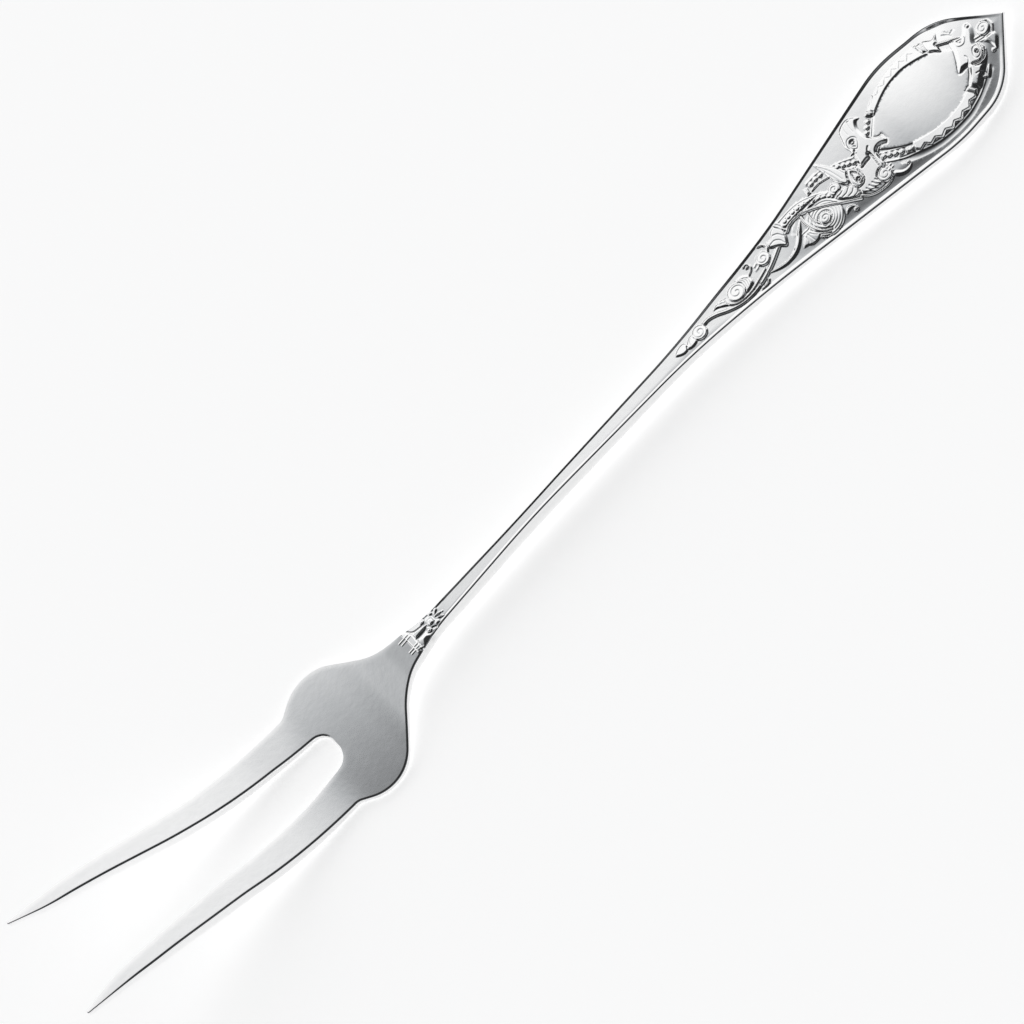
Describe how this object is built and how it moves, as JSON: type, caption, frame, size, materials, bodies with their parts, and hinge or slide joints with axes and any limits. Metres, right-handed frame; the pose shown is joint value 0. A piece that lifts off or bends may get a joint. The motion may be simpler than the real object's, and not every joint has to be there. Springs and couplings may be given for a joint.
{
  "type": "serving fork",
  "caption": "Two-tined serving fork in silver with upswept tines, a wide shoulder, a slim stem and a carved oval handle.",
  "frame": {"origin": "middle of the fork's length and width, on the surface that it lies on", "axes": "+X along the fork from the tines to the handle, +Z out of the carved front"},
  "size_m": [0.225, 0.027, 0.0221],
  "materials": {
    "silver": "polished silver with a softly worn relief"
  },
  "bodies": {
    "root": {"serving_fork": "silver"}
  },
  "joints": []
}
